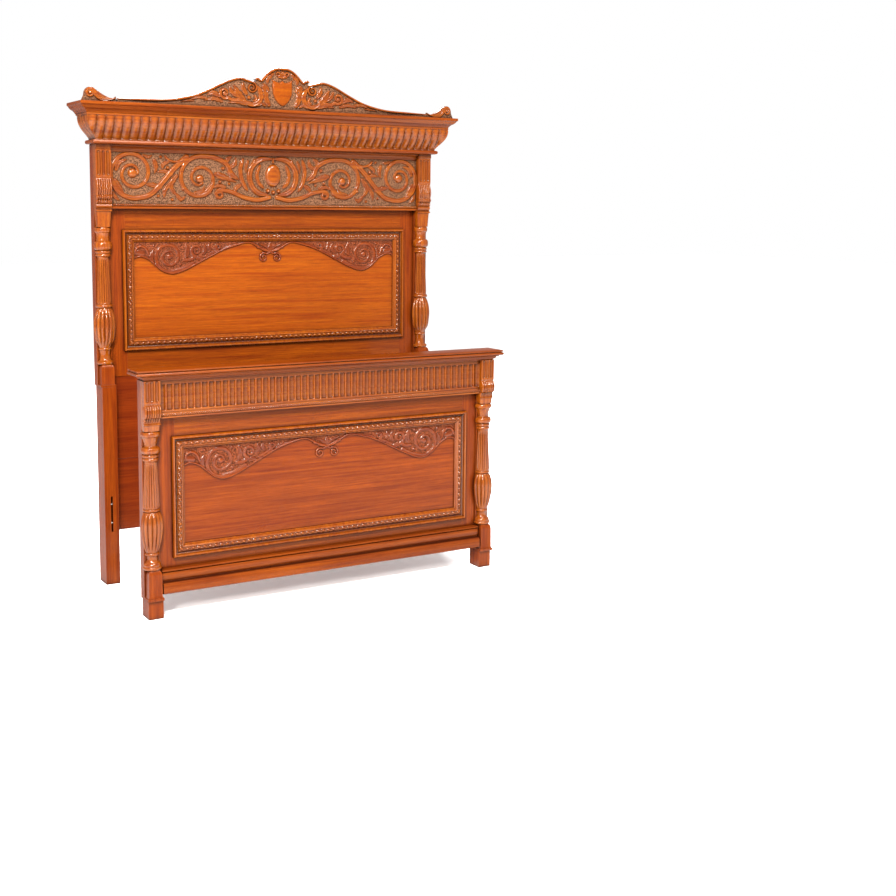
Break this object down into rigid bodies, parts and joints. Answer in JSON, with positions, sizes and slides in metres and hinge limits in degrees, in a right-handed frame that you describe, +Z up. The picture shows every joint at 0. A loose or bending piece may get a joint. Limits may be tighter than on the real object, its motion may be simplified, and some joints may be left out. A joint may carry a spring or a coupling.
{
  "type": "high-back panel bed",
  "caption": "Carved high-back panel bed: headboard with cornice, crest, frieze and turned columns, and a low footboard that slides away to working length.",
  "frame": {"origin": "on the floor under the middle of the whole bed, at the pictured spacing", "axes": "+Z up, +Y towards the headboard and the wall, +X to the right seen from the foot"},
  "size_m": [1.672, 0.644, 2.075],
  "materials": {
    "mahogany": "glossy orange-red varnish over straight-grained mahogany",
    "carved_mahogany": "glossy varnish on carved mahogany, dull greyish brown in the stippled grounds",
    "secondary_wood": "bare softwood, aged",
    "steel": "worn plain steel"
  },
  "bodies": {
    "headboard": {"cornice_back_board": "secondary_wood", "cornice_bead": "mahogany", "cornice_bottom_board": "secondary_wood", "cornice_edge_moulding": "mahogany", "cornice_fascia": "mahogany", "cornice_gadroon_moulding": "mahogany", "cornice_glue_blocks": "secondary_wood", "cornice_top_board": "mahogany", "crest_board": "carved_mahogany", "crest_corner_scrolls": "carved_mahogany", "crest_leaf_carving": "carved_mahogany", "crest_rim": "mahogany", "crest_shield": "carved_mahogany", "frieze_bead_strip": "mahogany", "frieze_carving": "carved_mahogany", "frieze_ledge": "mahogany", "frieze_panel": "carved_mahogany", "headboard_bottom_rail": "mahogany", "headboard_column_base_left": "mahogany", "headboard_column_base_right": "mahogany", "headboard_column_left": "mahogany", "headboard_column_right": "mahogany", "headboard_dowels": "secondary_wood", "headboard_lower_board": "mahogany", "headboard_panel": "mahogany", "headboard_panel_beading": "mahogany", "headboard_panel_carving": "carved_mahogany", "headboard_panel_moulding": "mahogany", "headboard_pilaster_left": "mahogany", "headboard_pilaster_right": "mahogany", "headboard_post_left": "mahogany", "headboard_post_right": "mahogany", "headboard_rail_pins": "steel", "headboard_stile_left": "mahogany", "headboard_stile_right": "mahogany", "headboard_top_rail": "mahogany", "headboard_upper_board": "mahogany"},
    "footboard": {"footboard_base_moulding": "mahogany", "footboard_bottom_rail": "mahogany", "footboard_cap": "mahogany", "footboard_cap_moulding": "mahogany", "footboard_column_base_left": "mahogany", "footboard_column_base_right": "mahogany", "footboard_column_left": "mahogany", "footboard_column_right": "mahogany", "footboard_dowels": "secondary_wood", "footboard_frieze": "mahogany", "footboard_frieze_bead_strip": "mahogany", "footboard_panel": "mahogany", "footboard_panel_beading": "mahogany", "footboard_panel_carving": "carved_mahogany", "footboard_panel_moulding": "mahogany", "footboard_pilaster_left": "mahogany", "footboard_pilaster_right": "mahogany", "footboard_post_left": "mahogany", "footboard_post_right": "mahogany", "footboard_rail_pins": "steel", "footboard_stile_left": "mahogany", "footboard_stile_right": "mahogany", "footboard_top_rail": "mahogany"}
  },
  "joints": [
    {"name": "footboard_slide", "type": "slide", "parent": "headboard", "child": "footboard", "axis": [0, -1, 0], "range_m": [0, 1.46]}
  ]
}
